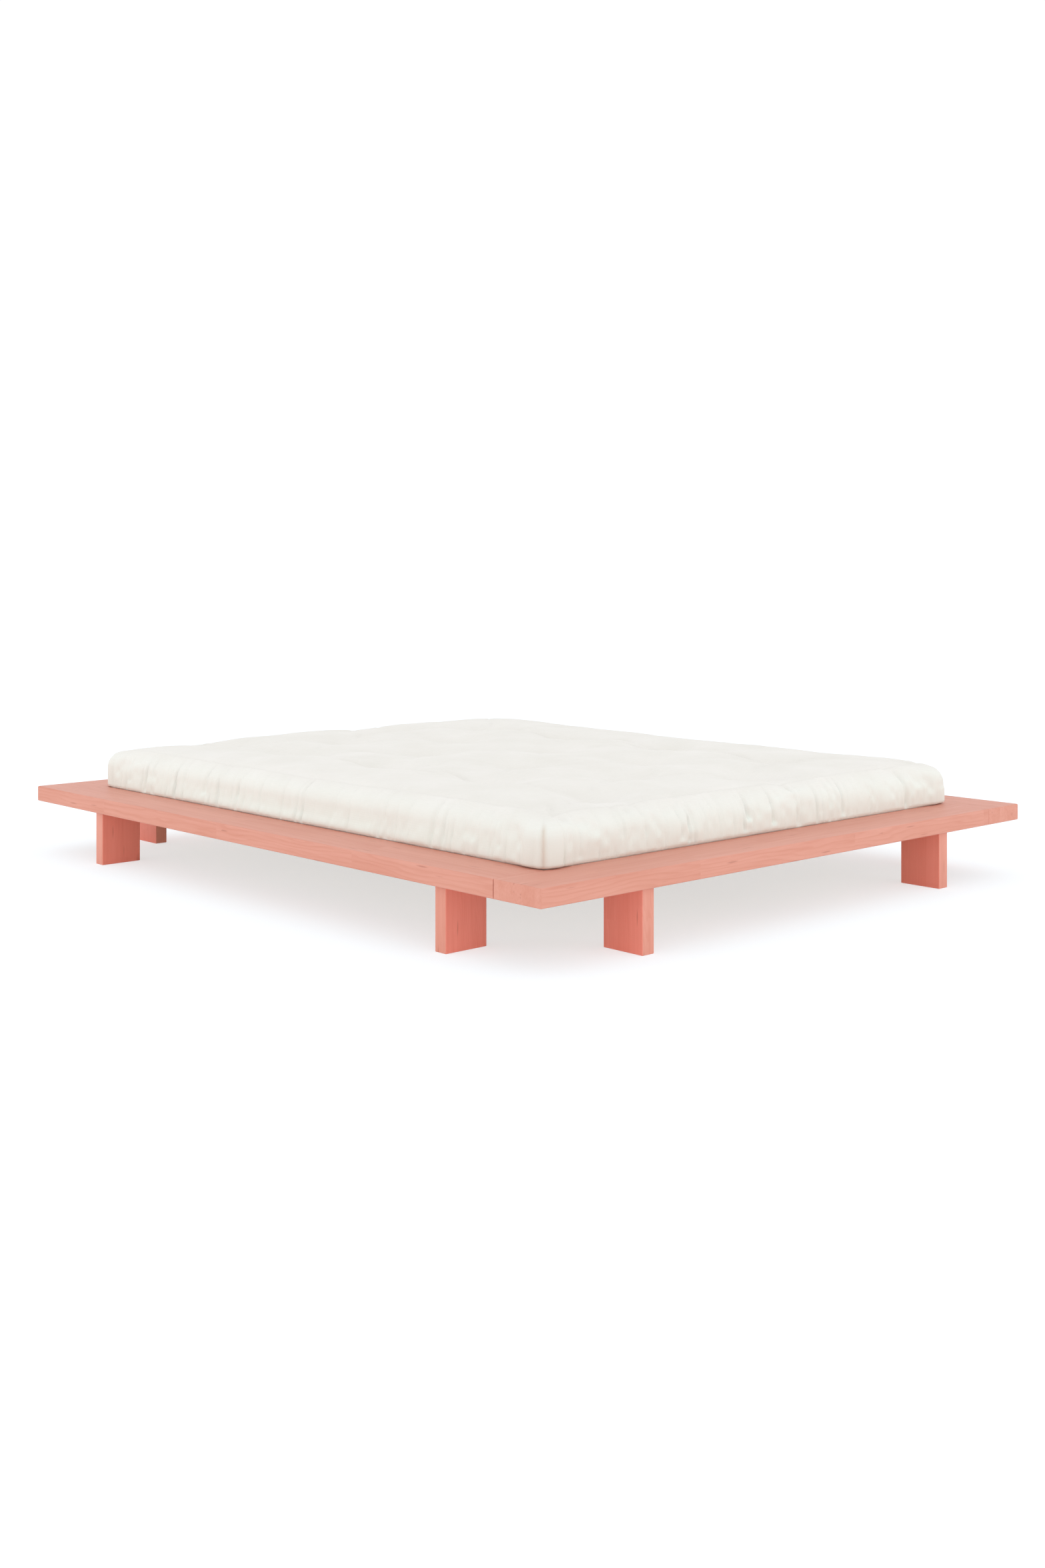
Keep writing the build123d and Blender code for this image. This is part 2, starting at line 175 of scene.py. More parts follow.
for name, (x, y) in lamp_places.items():
    lamp_data = bpy.data.lights.new(name, "AREA")
    lamp_data.shape = "DISK"
    lamp_data.size = LAMP_SIZE
    lamp_data.energy = LAMP_POWER
    lamp = bpy.data.objects.new(name, lamp_data)
    lamp.location = (x, y, LAMP_HEIGHT)
    tilt = math.atan2(math.hypot(x, y), LAMP_HEIGHT)
    lamp.rotation_euler = (tilt, 0, math.atan2(x, -y))
    scene.collection.objects.link(lamp)
print("dome strength", DOME, "and", len(lamp_places), "lamps of", LAMP_POWER, "W")

# %% Floor
FLOOR_REACH = 60.0
FLOOR_GLOW = 0.605
BOUNCE_GLOW = 0.15
BOUNCE_BELOW = 1 * MM
sheets = {"floor": ("#AFB8BE", FLOOR_GLOW, True), "bounce_floor": ("#F0F0F0", BOUNCE_GLOW, False)}
floor_plan = np.array([(-1, -1), (1, -1), (1, 1), (-1, 1)]) * FLOOR_REACH
for name, (colour, glow, seen) in sheets.items():
    material, tree, shader = new_material("matt_white_" + name)
    shader.inputs["Base Color"].default_value = linear(colour)
    shader.inputs["Roughness"].default_value = 1.0
    shader.inputs["Specular IOR Level"].default_value = 0.0
    shader.inputs["Emission Color"].default_value = (1, 1, 1, 1)
    shader.inputs["Emission Strength"].default_value = glow
    corners = np.column_stack([floor_plan, np.full(4, 0 if seen else -BOUNCE_BELOW)])
    sheet = mesh_object(name, corners, [[0, 1, 2, 3]], material)
    sheet.visible_camera = seen
    sheet.visible_diffuse = not seen
    sheet.visible_glossy = not seen
    sheet.visible_shadow = not seen
print("floor reach", FLOOR_REACH, "m")

# %% [markdown]
# ## Stained pine
# The boards are edge-glued pine: staves about 40 mm wide, finger-jointed end to end, planed, stained a thin
# coral and lacquered satin. Thin stain sinks more into the soft early wood, so the grain stays as faint
# streaks, and a few small knots and resin streaks turn darker and redder. An image would stretch at the
# edges. This pattern is a solid one, worked out from the place in the board, so it runs on round the edges
# and shows rings on the sawn ends.

# %% Wood recipe
STAVE = 40 * MM
PIECE_LENGTH = 620 * MM
RING = 3.2 * MM
BEND = 36 * MM
GRAIN_BUMP = 0.15 * MM
AXIS_ORDER = {"X": (0, 1, 2), "Y": (1, 0, 2), "Z": (2, 1, 0)}


def wood(name, grain, light, dark, knot, roughness, contrast, face=None, shaded_face_light=None, shaded_face_dark=None):
    """Pine with its grain along one axis. Rings are circles round a pith below each stave: their number is
    the distance to the pith divided by the ring width, bent by noise that is stretched along the grain.
    Faces that look along the axis named by face take a colour of their own: painted light and shade."""
    material, tree, shader = new_material(name)
    along, across, deep = AXIS_ORDER[grain]
    axes = add_node(tree, "SeparateXYZ", {0: add_node(tree, "TexCoord").outputs["Object"]}).outputs

    # Which stave, which finger-jointed piece of it, and random numbers for both.
    stave = add_node(tree, "Math", {0: axes[across], 1: STAVE}, operation="DIVIDE")
    stave = add_node(tree, "Math", {0: stave}, operation="FLOOR")
    key = add_node(tree, "CombineXYZ", {0: stave, 1: 5.0, 2: 3.0})
    random = add_node(tree, "TexWhiteNoise", {"Vector": key}, noise_dimensions="3D")
    start = add_node(tree, "Math", {0: random, 1: 3.0, 2: axes[along]}, operation="MULTIPLY_ADD")
    piece = add_node(tree, "Math", {0: start, 1: PIECE_LENGTH}, operation="DIVIDE")
    piece = add_node(tree, "Math", {0: piece}, operation="FLOOR")
    key = add_node(tree, "CombineXYZ", {0: stave, 1: piece, 2: 7.0})
    random = add_node(tree, "TexWhiteNoise", {"Vector": key}, noise_dimensions="3D")

    # The place in the piece, with the grain along the first axis, moved by the piece's own amount.
    local = add_node(tree, "CombineXYZ", {0: axes[along], 1: axes[across], 2: axes[deep]})
    move = {0: random.outputs["Color"], 1: (9.0, 0.03, 0.09), 2: local}
    local = add_node(tree, "VectorMath", move, operation="MULTIPLY_ADD")

    # Noises stretched along the grain: slow bends, fine fibres, long streaks and soft blotches.
    noises = {}
    stretches = {"bend": (2.2, 14, 3), "fibre": (14, 900, 2), "streak": (5, 130, 4), "blotch": (3.5, 22, 3)}
    for noise_name, (length, width, detail) in stretches.items():
        stretched = add_node(tree, "Mapping", {"Vector": local, "Scale": (length, width, width)})
        noise = add_node(tree, "TexNoise", {"Vector": stretched, "Scale": 1.0, "Detail": detail})
        noises[noise_name] = noise.outputs["Fac"]

    # Rings: the distance to the pith in ring widths, dark over the late wood.
    sides = add_node(tree, "VectorMath", {0: local, 1: (0, 1, 1)}, operation="MULTIPLY")
    bent = add_node(tree, "VectorMath", {0: (0, 1, 1.4), "Scale": noises["bend"]}, operation="SCALE")
    bent = add_node(tree, "VectorMath", {0: bent, 1: (0, BEND, BEND), 2: sides}, operation="MULTIPLY_ADD")
    radius = add_node(tree, "VectorMath", {0: bent}, operation="LENGTH").outputs["Value"]
    phase = add_node(tree, "Math", {0: radius, 1: RING}, operation="DIVIDE")
    phase = add_node(tree, "Math", {0: phase}, operation="FRACT")
    late = {"Value": phase, "From Min": 0.45, "From Max": 0.9}
    rings = add_node(tree, "MapRange", late, interpolation_type="SMOOTHSTEP")

    # Knots are oval spots with a soft halo. Resin streaks are short dashes, in one cell out of many.
    spots = add_node(tree, "Mapping", {"Vector": local, "Scale": (2.2, 11, 11)})
    spots = add_node(tree, "TexVoronoi", {"Vector": spots, "Scale": 1.0})
    far = {0: noises["fibre"], 1: 0.035, 2: spots.outputs["Distance"]}
    far = add_node(tree, "Math", far, operation="MULTIPLY_ADD")
    core = {"Value": far, "From Min": 0.04, "From Max": 0.10, "To Min": 0.35, "To Max": 0.0}
    core = add_node(tree, "MapRange", core)
    halo = {"Value": far, "From Min": 0.06, "From Max": 0.40, "To Min": 1.0, "To Max": 0.0}
    halo = add_node(tree, "MapRange", halo)
    dashes = add_node(tree, "Mapping", {"Vector": local, "Scale": (16, 150, 150)})
    dashes = add_node(tree, "TexVoronoi", {"Vector": dashes, "Scale": 1.0})
    chosen = add_node(tree, "SeparateColor", {0: dashes.outputs["Color"]})
    chosen = add_node(tree, "Math", {0: chosen, 1: 0.95}, operation="GREATER_THAN")
    dash = {"Value": dashes.outputs["Distance"], "From Min": 0.15, "From Max": 0.42}
    dash = add_node(tree, "MapRange", {**dash, "To Min": 0.4, "To Max": 0.0})
    dash = add_node(tree, "Math", {0: dash, 1: chosen}, operation="MULTIPLY")

    # How much stain the wood took: a weighted sum, spread round the middle by the contrast.
    shade = add_node(tree, "Math", {0: rings, 1: 0.24}, operation="MULTIPLY")
    shares = [(noises["streak"], 0.75), (noises["fibre"], 0.30), (noises["blotch"], 0.55)]
    for source, weight in shares + [(random, 0.3), (halo, 0.2)]:
        shade = add_node(tree, "Math", {0: source, 1: weight, 2: shade}, operation="MULTIPLY_ADD")
    spread = {"From Min": 0.72, "From Max": 1.55, "To Min": 0.5 - contrast / 2, "To Max": 0.5 + contrast / 2}
    shade = add_node(tree, "MapRange", {"Value": shade, **spread})
    colours = {"Factor": shade, 6: linear(light), 7: linear(dark)}
    colour = add_node(tree, "Mix", colours, data_type="RGBA").outputs[2]
    # Painted light and shade: faces that look along the face axis get their own redder colour, for their
    # place in the shade under the boards.
    if face is not None:
        shaded_face_mask = add_node(tree, "SeparateXYZ", {0: add_node(tree, "TexCoord").outputs["Normal"]}).outputs[face]
        shaded_face_mask = add_node(tree, "Math", {0: shaded_face_mask}, operation="ABSOLUTE")
        colours = {"Factor": shade, 6: linear(shaded_face_light), 7: linear(shaded_face_dark)}
        shaded_face_colour = add_node(tree, "Mix", colours, data_type="RGBA").outputs[2]
        colour = add_node(tree, "Mix", {"Factor": shaded_face_mask, 6: colour, 7: shaded_face_colour}, data_type="RGBA").outputs[2]
    for mask in (dash, core):
        spot = {"Factor": mask, 6: colour, 7: linear(knot)}
        colour = add_node(tree, "Mix", spot, data_type="RGBA").outputs[2]
    tree.links.new(colour, shader.inputs["Base Color"])
    shader.inputs["Specular IOR Level"].default_value = 0.25

    # The lacquer follows the grain: a fine bump, and a roughness that varies with the streaks.
    gloss = {"Value": noises["streak"], "To Min": roughness - 0.05, "To Max": roughness + 0.08}
    tree.links.new(add_node(tree, "MapRange", gloss).outputs[0], shader.inputs["Roughness"])
    relief = add_node(tree, "Math", {0: rings, 1: 0.5, 2: noises["fibre"]}, operation="MULTIPLY_ADD")
    bump = add_node(tree, "Bump", {"Height": relief, "Strength": 0.25, "Distance": GRAIN_BUMP})
    tree.links.new(bump.outputs[0], shader.inputs["Normal"])
    return material


# %% Stained pine on the boards and legs
# The legs are short lengths of more open grain. Their wide faces sit in the shade under the boards and get a
# redder colour of their own, brighter in red and darker in green and blue: painted light and shade.
BOARD_STAIN = {"light": "#DEA08F", "dark": "#CB846F", "knot": "#96503F", "roughness": 0.45, "contrast": 0.7}
LEG_STAIN = {"light": "#E6A493", "dark": "#D0836F", "knot": "#96503F", "roughness": 0.45, "contrast": 0.5}
# Colours of the legs' wide faces: painted light and the reddish shade under the boards.
WIDE_FACE_PAINTED_SHADE = {"shaded_face_light": "#FA9E8D", "shaded_face_dark": "#E27E6A"}
board_stain = {axis: wood(f"coral_stained_pine_board_{axis.lower()}", axis, **BOARD_STAIN) for axis in "XY"}
leg_stain_and_painted_shade = {
    axis: wood(f"coral_stained_pine_leg_painted_shade_{axis.lower()}", "Z", face=axis, **WIDE_FACE_PAINTED_SHADE, **LEG_STAIN)
    for axis in "XY"
}


def paint(node, material):
    """Gives a node of the frame a finished material."""
    mesh = frame["nodes"][node].data
    mesh.materials.clear()
    mesh.materials.append(material)


slots = {part["node"]: part["material_slot"] for part in frame["record"]["subparts"]}
stained = [node for node, slot in slots.items() if slot == "stained_pine"]
for node in stained:
    along_side = node.startswith(("leg_left", "leg_right", "side_rail"))
    stain = leg_stain_and_painted_shade if node.startswith("leg_") else board_stain
    paint(node, stain["Y" if along_side else "X"])
print("stained pieces:", len(stained))

# %% [markdown]
# ## What lies under the mattress
# The slats and the beam are planed pine without stain. The dowels are beech. Brackets and slat rails are
# bent sheet steel with a black powder coat, a baked plastic skin with a fine orange-peel surface. Screws
# are zinc plated, the insert is turned brass, and the levelling foot is moulded polypropylene. Each finish
# is a shader of its own with a fine bump, because bare flat colours look like toys when the slats lift.

# %% Raw pine and beech
RAW = {"light": "#D9B88A", "dark": "#B98A55", "knot": "#6E4526", "roughness": 0.55, "contrast": 0.8}
BEECH = {"light": "#CDA883", "dark": "#B08A63", "knot": "#8A6240", "roughness": 0.6, "contrast": 0.5}
raw_pine = {axis: wood(f"planed_pine_{axis.lower()}", axis, **RAW) for axis in "XYZ"}
beech = wood("beech_dowel_rod", "Z", **BEECH)
for node in [node for node, slot in slots.items() if slot == "raw_pine"]:
    axis = "X" if node.startswith("slat_") else "Z" if node == "centre_leg" else "Y"
    paint(node, raw_pine[axis])
print("raw pine pieces:", sum(slot == "raw_pine" for slot in slots.values()))


# %% Steel, brass and plastic
def fine_finish(name, colour, metallic, roughness, grit, height):
    """A finish with a fine surface: noise of the given grit drives the bump, and a slower noise varies the
    colour by a fifth and the roughness by a little."""
    material, tree, shader = new_material(name)
    place = add_node(tree, "TexCoord").outputs["Object"]
    fine = add_node(tree, "TexNoise", {"Vector": place, "Scale": 1 / grit, "Detail": 3.0}).outputs["Fac"]
    slow = add_node(tree, "TexNoise", {"Vector": place, "Scale": 0.04 / grit, "Detail": 2.0}).outputs["Fac"]
    dark = [channel * 0.8 for channel in linear(colour)[:3]] + [1.0]
    tint = add_node(tree, "Mix", {"Factor": slow, 6: dark, 7: linear(colour)}, data_type="RGBA").outputs[2]
    tree.links.new(tint, shader.inputs["Base Color"])
    shader.inputs["Metallic"].default_value = metallic
    gloss = {"Value": slow, "To Min": roughness - 0.08, "To Max": roughness + 0.08}
    tree.links.new(add_node(tree, "MapRange", gloss).outputs[0], shader.inputs["Roughness"])
    bump = add_node(tree, "Bump", {"Height": fine, "Strength": 0.3, "Distance": height})
    tree.links.new(bump.outputs[0], shader.inputs["Normal"])
    return material


FINISHES = {
    "black_steel": fine_finish("powder_coated_steel", "#26282A", 0.0, 0.5, 0.8 * MM, 0.08 * MM),
    "zinc_steel": fine_finish("zinc_plated_steel", "#B9BCC0", 1.0, 0.36, 0.5 * MM, 0.02 * MM),
    "brass_insert": fine_finish("turned_brass", "#C9A55B", 1.0, 0.3, 0.4 * MM, 0.02 * MM),
    "black_plastic": fine_finish("moulded_polypropylene", "#232323", 0.0, 0.55, 0.6 * MM, 0.05 * MM),
    "beech_dowel": beech,
}
for node, slot in slots.items():
    if slot in FINISHES:
        paint(node, FINISHES[slot])
print("finishes:", sorted(FINISHES))

# %% Cotton tape
# Threads of a real tape are 0.5 mm apart. They are drawn three times coarser, so that the weave shows.
TAPE_THREAD = 1.5 * MM
tape_cloth, tape_tree, tape_shader = new_material("woven_cotton_tape")
tape_place = add_node(tape_tree, "TexCoord").outputs["Object"]
threads = {"Vector": tape_place, "Scale": 1 / (TAPE_THREAD * 20), "Distortion": 0.4}
across_tape = add_node(tape_tree, "TexWave", threads, bands_direction="X").outputs["Fac"]
along_tape = add_node(tape_tree, "TexWave", threads, bands_direction="Y").outputs["Fac"]
tape_weave = add_node(tape_tree, "Math", {0: across_tape, 1: along_tape}, operation="MULTIPLY")
tape_colours = {"Factor": tape_weave, 6: linear("#CFC6B2"), 7: linear("#E6DFD0")}
tape_tint = add_node(tape_tree, "Mix", tape_colours, data_type="RGBA").outputs[2]
tape_tree.links.new(tape_tint, tape_shader.inputs["Base Color"])
tape_shader.inputs["Roughness"].default_value = 0.9
tape_bump = add_node(tape_tree, "Bump", {"Height": tape_weave, "Strength": 0.5, "Distance": 0.3 * MM})
tape_tree.links.new(tape_bump.outputs[0], tape_shader.inputs["Normal"])
paint("slat_tape_left", tape_cloth)
paint("slat_tape_right", tape_cloth)
print("tape threads", TAPE_THREAD * 1000, "mm apart")

# %% [markdown]
# ## The futon
# The futon is a cotton cover stuffed with layers of cotton wool. Long stitches pull its top and bottom
# together at staggered tufts, so the top swells between them. The cover's sides are gathered, which gives
# many upright folds, crisp at the bottom and fading over the rounded top edge, and an upright seam closes
# each corner. A box with a noise bump would look like plaster. Here the cover is a closed grid of a top
# panel, a side band and a bottom panel. A cloth simulation blows up a coarse copy of it, which gives the
# pull of the tufts, and its swelling is passed on to the fine grid, which also gets the folds and seams.

# %% Futon sizes
futon_low, futon_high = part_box("futon_mattress")
HALF_X = futon_high[0]
HALF_Y = futon_high[1]
BASE_Z = futon_low[2]
TOP_Z = futon_high[2]
BOARD_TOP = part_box("side_rail_left")[1][2]
CORNER_RADIUS = 30 * MM
EDGE_IN = 26 * MM
EDGE_DROP = 50 * MM
RIM_Z = TOP_Z - 7 * MM
INNER_X = HALF_X - EDGE_IN
INNER_Y = HALF_Y - EDGE_IN
INNER_RADIUS = CORNER_RADIUS - EDGE_IN
print("futon", round(2 * HALF_X, 3), "by", round(2 * HALF_Y, 3), "by", round(TOP_Z - BASE_Z, 3), "m")

# %% [markdown]
# ### One outline for the whole cover
# The top panel is a grid whose lines crowd together near the edges, where the seams and folds are. Its
# outline is a rectangle with round corners. The side band hangs from that outline, and the bottom panel
# closes it. Sharing the outline is what makes the cover watertight. The same functions make the coarse copy
# for the simulation and the fine cover, so a place on one is easily found on the other.

# %% Grid lines and outline
EDGE_CELLS = np.array([0, 1, 2, 3, 4, 6, 9, 13, 18, 25, 33]) * MM
CELL = 10 * MM
COARSE_CELL = 16 * MM


def fine_lines(half):
    """Line positions from -half to half: the edge cells at both ends and even cells between them."""
    middle = half - EDGE_CELLS[-1]
    even = np.linspace(-middle, middle, round(2 * middle / CELL) + 1)[1:-1]
    return np.concatenate([EDGE_CELLS - half, even, half - EDGE_CELLS[::-1]])


def coarse_lines(half):
    """Even line positions from -half to half."""
    return np.linspace(-half, half, round(2 * half / COARSE_CELL) + 1)


def rounded(points):
    """Turns each corner square of the inner rectangle into a quarter disc: a point beyond the arc's centre
    by (a, b) moves to (a, b) * max(a, b) / hypot(a, b), so square rings become arcs."""
    centre = np.array([INNER_X - INNER_RADIUS, INNER_Y - INNER_RADIUS])
    beyond = np.clip(np.abs(points) - centre, 0, None)
    length = np.hypot(beyond[..., 0], beyond[..., 1])[..., None]
    scale = np.where(length > 0, beyond.max(-1, keepdims=True) / np.maximum(length, 1e-9), 1.0)
    return np.sign(points) * (np.minimum(np.abs(points), centre) + beyond * scale)


def square_outline(lines_x, lines_y):
    """The panel's outline before its corners are rounded: along -y, up +x, back along +y, down -x."""
    front = np.stack([lines_x[:-1], np.full(len(lines_x) - 1, -INNER_Y)], 1)
    right = np.stack([np.full(len(lines_y) - 1, INNER_X), lines_y[:-1]], 1)
    return np.concatenate([front, right, -front, -right])


def outward_of(square):
    """For points of the square outline, the rounded rim and the unit vectors that point out of the cover."""
    rim = rounded(square)
    centre = np.array([INNER_X - INNER_RADIUS, INNER_Y - INNER_RADIUS])
    away = rim - np.clip(square, -centre, centre)
    return rim, away / np.linalg.norm(away, axis=1, keepdims=True)


lines_x, lines_y = fine_lines(INNER_X), fine_lines(INNER_Y)
outline = square_outline(lines_x, lines_y)
BAND = 2 * len(outline)
band_square = np.empty((BAND, 2))
band_square[0::2] = outline
band_square[1::2] = (outline + np.roll(outline, -1, 0)) / 2
band_rim, outward = outward_of(band_square)
band_wall = band_rim + outward * EDGE_IN
steps = np.linalg.norm(np.roll(band_wall, -1, 0) - band_wall, axis=1)
along = np.concatenate([[0], np.cumsum(steps)[:-1]])
perimeter = steps.sum()
print("top panel", len(lines_x) - 1, "by", len(lines_y) - 1, "cells")
print("band", BAND, "columns round", round(perimeter, 2), "m")

# %% [markdown]
# ### Profile of the side
# The futon is squeezed between the boards and swells out above them, which hides the gap: below the boards'
# top its side stays clear of the wood, and above it the side leans a few millimetres over the edge. The
# stuffing pulls the sides in between the corners, so the corners stand out most.

# %% Profile of the side band
WALL_SHARE = 0.55
BOTTOM_IN = 18 * MM
SQUEEZED = 12 * MM
BELLY = 13 * MM
BELLY_START = BOARD_TOP - 3 * MM
BELLY_RISE = 8 * MM
TUCK_SHARE = 0.16


def band_profile(up):
    """Distance out from the top panel's outline and height, for up from 0 at the bottom seam to 1: a wall
    that is tucked in at its foot, steps out smoothly above the boards, and turns over the top edge as a
    quarter of an ellipse."""
    wall = np.clip(up / WALL_SHARE, 0, 1)
    turn = np.clip((up - WALL_SHARE) / (1 - WALL_SHARE), 0, 1) * math.pi / 2
    z = BASE_Z + wall * (RIM_Z - EDGE_DROP - BASE_Z) + EDGE_DROP * np.sin(turn)
    step = np.clip((z - BELLY_START) / BELLY_RISE, 0, 1)
    swell = SQUEEZED + BELLY * step * step * (3 - 2 * step)
    tuck = (BOTTOM_IN + SQUEEZED) * (1 - np.sqrt(1 - np.clip(1 - wall / TUCK_SHARE, 0, 1) ** 2))
    return (EDGE_IN + swell) * np.cos(turn) - tuck, z


print("side from", round(BASE_Z, 3), "to", round(RIM_Z, 3), "m high")

# %% Tufts
# Four columns of tufts, staggered by half a row from one column to the next.
TUFT_COLUMN = 320 * MM
TUFT_ROW = 430 * MM
tufts = []
for column, x in enumerate(np.array([-1.5, -0.5, 0.5, 1.5]) * TUFT_COLUMN):
    rows = np.arange(-2, 3) if column % 2 == 0 else np.arange(-1.5, 2)
    tufts += [(x, y) for y in rows * TUFT_ROW]
tufts = np.array(tufts)
print("tufts:", len(tufts))

# %% Stuffed shape before it is blown up
TUFT_DEPTH = 36 * MM
TUFT_REACH = 54 * MM
CROWN = 8 * MM
CROWN_REACH = 110 * MM
ROUNDNESS = 1.4


def stuffed(x, y):
    """Height above the rim: a crown C * (1 - exp(-(distance from the edge / its reach) ** roundness)), minus
    a pit D * exp(-(distance / its reach) ** roundness) for each tuft."""
    to_edge = np.clip(np.minimum(INNER_X - np.abs(x), INNER_Y - np.abs(y)), 0, None)
    crown = CROWN * (1 - np.exp(-(to_edge / CROWN_REACH) ** ROUNDNESS))
    far = np.hypot(x[..., None] - tufts[:, 0], y[..., None] - tufts[:, 1])
    return crown - TUFT_DEPTH * np.exp(-(far / TUFT_REACH) ** ROUNDNESS).sum(-1)


def panel_points(lines_x, lines_y):
    """Rounded plan of a panel's grid."""
    return rounded(np.stack(np.meshgrid(lines_x, lines_y, indexing="ij"), -1))


def with_height(plan, z):
    """Adds a height, one number or an array, to an array of plan points."""
    return np.concatenate([plan, np.broadcast_to(z, plan.shape[:-1])[..., None]], axis=-1)


bottom_scale = (np.array([HALF_X, HALF_Y]) - BOTTOM_IN) / np.array([INNER_X, INNER_Y])
print("bottom panel is", np.round(bottom_scale, 3), "times the top one")


# %% Faces of a cover
def quads(grid, flip):
    """Faces of a grid of point numbers, turned over when flip is true."""
    a, b, c, d = grid[:-1, :-1], grid[1:, :-1], grid[1:, 1:], grid[:-1, 1:]
    order = (a, d, c, b) if flip else (a, b, c, d)
    return np.stack(order, -1).reshape(-1, 4).tolist()


def ring_of(grid):
    """Point numbers of a panel's outline in the band's order: along -y, up +x, back along +y, down -x."""
    return np.concatenate([grid[:-1, 0], grid[-1, :-1], grid[:0:-1, -1], grid[0, :0:-1]])


def numbered(shape, start):
    """Point numbers of a grid, counted on from a start."""
    return start + np.arange(math.prod(shape)).reshape(shape)


# %% [markdown]
# ### Cloth simulation
# A real cover is flat cloth that the stuffing pushes out and the tufts hold back, so creases run out from
# each tuft. The coarse copy starts dimpled. Its rest shape is the undimpled cover, a little larger still, so
# the cloth has something to spare. Pressure pushes it out for a few frames with gravity off, while the
# tufts, the bottom and the squeezed lower side are held. The movement is then capped softly, because
# an air bag swells far more than stuffed cotton does.

# %% Coarse cover
COARSE_ROWS = 8
HELD_ROWS = 3
HELD_ROUND_TUFT = 0.75 * COARSE_CELL
coarse_x, coarse_y = coarse_lines(INNER_X), coarse_lines(INNER_Y)
coarse_rim, coarse_away = outward_of(square_outline(coarse_x, coarse_y))
coarse_plan = panel_points(coarse_x, coarse_y)
dimpled = with_height(coarse_plan, RIM_Z + stuffed(coarse_plan[..., 0], coarse_plan[..., 1]))
undimpled = with_height(coarse_plan, RIM_Z + CROWN)
coarse_up = np.arange(COARSE_ROWS) / COARSE_ROWS
coarse_out, coarse_z = band_profile(coarse_up[:, None] * np.ones(len(coarse_rim)))
coarse_band = with_height(coarse_rim + coarse_away * coarse_out[..., None], coarse_z)
coarse_bottom = with_height(coarse_plan * bottom_scale, BASE_Z)

top_ids = numbered(dimpled.shape[:2], 0)
band_ids = numbered(coarse_band.shape[:2], top_ids.size)
bottom_ids = numbered(dimpled.shape[:2], top_ids.size + band_ids.size)
rows = np.vstack([ring_of(bottom_ids), band_ids[1:], ring_of(top_ids)])
coarse_faces = quads(top_ids, False) + quads(bottom_ids, True)
coarse_faces += quads(np.concatenate([rows, rows[:, :1]], axis=1), True)
coarse_start = np.concatenate([grid.reshape(-1, 3) for grid in (dimpled, coarse_band, coarse_bottom)])
coarse_rest = np.concatenate([grid.reshape(-1, 3) for grid in (undimpled, coarse_band, coarse_bottom)])
to_tuft = np.hypot(coarse_start[:, :1] - tufts[:, 0], coarse_start[:, 1:2] - tufts[:, 1]).min(axis=1)
tufted = np.nonzero(to_tuft[:top_ids.size] < HELD_ROUND_TUFT)[0]
held = np.concatenate([tufted, band_ids[:HELD_ROWS].ravel(), bottom_ids.ravel()])
print("coarse cover:", len(coarse_start), "points,", len(held), "held")


# %% Blow it up
PRESSURE = 1.2
SPARE_CLOTH = 0.006
FRAMES = 20


def blown_up(start, rest, faces, held):
    """Movement of each point of a closed cover under pressure, by Blender's cloth. The cover is removed."""
    cover = mesh_object("coarse_cover", start, faces, None)
    cover.shape_key_add(name="Basis")
    rest_key = cover.shape_key_add(name="undimpled")
    rest_key.data.foreach_set("co", rest.astype(np.float32).ravel())
    cover.vertex_groups.new(name="held").add(held.tolist(), 1.0, "REPLACE")
    cloth = cover.modifiers.new("cloth", "CLOTH")
    cloth.settings.vertex_group_mass = "held"
    cloth.settings.rest_shape_key = rest_key
    cloth.settings.use_pressure = True
    cloth.settings.uniform_pressure_force = PRESSURE
    cloth.settings.effector_weights.gravity = 0
    cloth.settings.shrink_min = -SPARE_CLOTH
    cloth.settings.quality = 4
    cloth.settings.mass = 0.3
    cloth.settings.bending_stiffness = 0.05
    cloth.settings.shear_stiffness = 5
    cloth.collision_settings.use_collision = False
    cloth.point_cache.frame_end = FRAMES
    for frame_number in range(1, FRAMES + 1):
        scene.frame_set(frame_number)
    blown = cover.evaluated_get(bpy.context.evaluated_depsgraph_get()).data
    after = np.empty(3 * len(start), np.float32)
    blown.vertices.foreach_get("co", after)
    bpy.data.objects.remove(cover)
    scene.frame_set(1)
    return after.reshape(-1, 3) - start


movement = blown_up(coarse_start, coarse_rest, coarse_faces, held)
print("largest movement", round(float(np.abs(movement).max() * 1000), 1), "mm")

# %% Cap the movement and pass it on to the fine grid
CAP = 14 * MM
EVEN_ROWS = 34
EDGE_ROWS = np.array([0.5, 3]) * MM


def weights(places, count, closed):
    """Catmull-Rom weights that read evenly spaced values, one row for each place given in cells. With t the
    part after the last value, they are (-t + 2t2 - t3, 2 - 5t2 + 3t3, t + 4t2 - 3t3, -t2 + t3) / 2."""
    cell = np.clip(np.floor(places).astype(int), 0, count - 1)
    t = places - cell
    parts = [-t + 2 * t**2 - t**3, 2 - 5 * t**2 + 3 * t**3, t + 4 * t**2 - 3 * t**3, -(t**2) + t**3]
    table = np.zeros((len(places), count))
    for step, part in zip((-1, 0, 1, 2), parts):
        index = (cell + step) % count if closed else np.clip(cell + step, 0, count - 1)
        np.add.at(table, (np.arange(len(places)), index), part / 2)
    return table


size = np.linalg.norm(movement, axis=1, keepdims=True)
movement *= np.tanh(size / CAP) * CAP / np.maximum(size, 1e-9)
top_moved = movement[top_ids]
band_moved = movement[rows]
cells_x, cells_y = len(coarse_x) - 1, len(coarse_y) - 1
read_x = weights((lines_x + INNER_X) / (2 * INNER_X) * cells_x, cells_x + 1, False)
read_y = weights((lines_y + INNER_Y) / (2 * INNER_Y) * cells_y, cells_y + 1, False)
top_moved = np.einsum("ai,bj,ijk->abk", read_x, read_y, top_moved, optimize=True)

